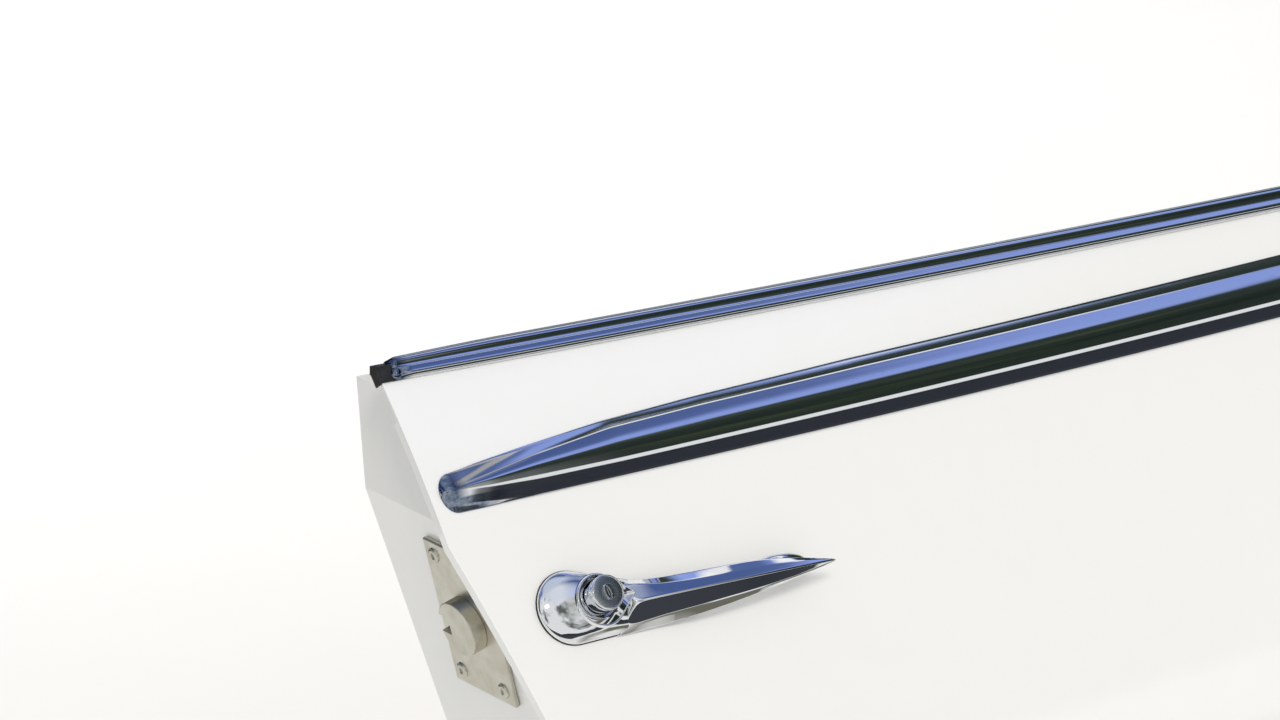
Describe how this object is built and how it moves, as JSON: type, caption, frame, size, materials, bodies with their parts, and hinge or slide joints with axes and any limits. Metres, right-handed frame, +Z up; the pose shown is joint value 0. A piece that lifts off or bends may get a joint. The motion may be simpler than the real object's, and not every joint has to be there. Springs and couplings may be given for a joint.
{
  "type": "car door",
  "caption": "Right-hand door of an open two-seat roadster: curved painted panel, bright mouldings, push-button handle, lowered glass and tan trim, on two pillar hinges.",
  "frame": {"origin": "middle of the four hinge bolts, on the face of the hinge pillar", "axes": "+X to the front of the car, +Y to the car's left (inboard of this right-hand door), +Z up"},
  "size_m": [1.046, 0.2365, 0.4687],
  "materials": {
    "paint": "gloss off-white paint",
    "inner_paint": "gloss off-white paint",
    "hinge_steel": "off-white paint over cast steel",
    "pin_steel": "zinc plated",
    "chrome": "polished",
    "bright_strip": "polished stainless steel",
    "rubber": "matt black",
    "glass": "clear",
    "channel_steel": "dark flocked steel",
    "tan_leather": "fine grain, satin",
    "tan_trim": "fine grain vinyl and leather",
    "latch_steel": "zinc plated",
    "black_plastic": "gloss black"
  },
  "bodies": {
    "pillar_side": {"hinge_pillar_bracket_lower": "hinge_steel", "hinge_pillar_bracket_upper": "hinge_steel", "hinge_pin_lower": "pin_steel", "hinge_pin_upper": "pin_steel"},
    "door": {"armrest": "tan_leather", "belt_end_rubber": "rubber", "belt_moulding": "bright_strip", "buffer_lower": "rubber", "door_pull": "tan_leather", "dovetail_wedge": "latch_steel", "glass_channel_front": "channel_steel", "glass_channel_rear": "channel_steel", "handle_body": "chrome", "handle_gasket": "rubber", "hinge_door_leaf_lower": "hinge_steel", "hinge_door_leaf_upper": "hinge_steel", "inner_frame": "inner_paint", "inner_glass_seal": "rubber", "kick_strip": "bright_strip", "latch_case": "latch_steel", "latch_claw": "latch_steel", "lock_barrel": "chrome", "outer_glass_seal": "rubber", "outer_skin": "paint", "push_button": "chrome", "release_lever": "chrome", "release_plate": "chrome", "rub_strip": "bright_strip", "top_roll": "tan_leather", "trim_card": "tan_trim", "winder_knob": "black_plastic", "winder_plate": "chrome", "window_glass": "glass", "window_winder": "chrome"}
  },
  "joints": [
    {"name": "door_swing", "type": "hinge", "parent": "pillar_side", "child": "door", "pos_m": [-0.052, -0.062, 0], "axis": [0, 0, 1], "range_deg": [0, 65]}
  ]
}
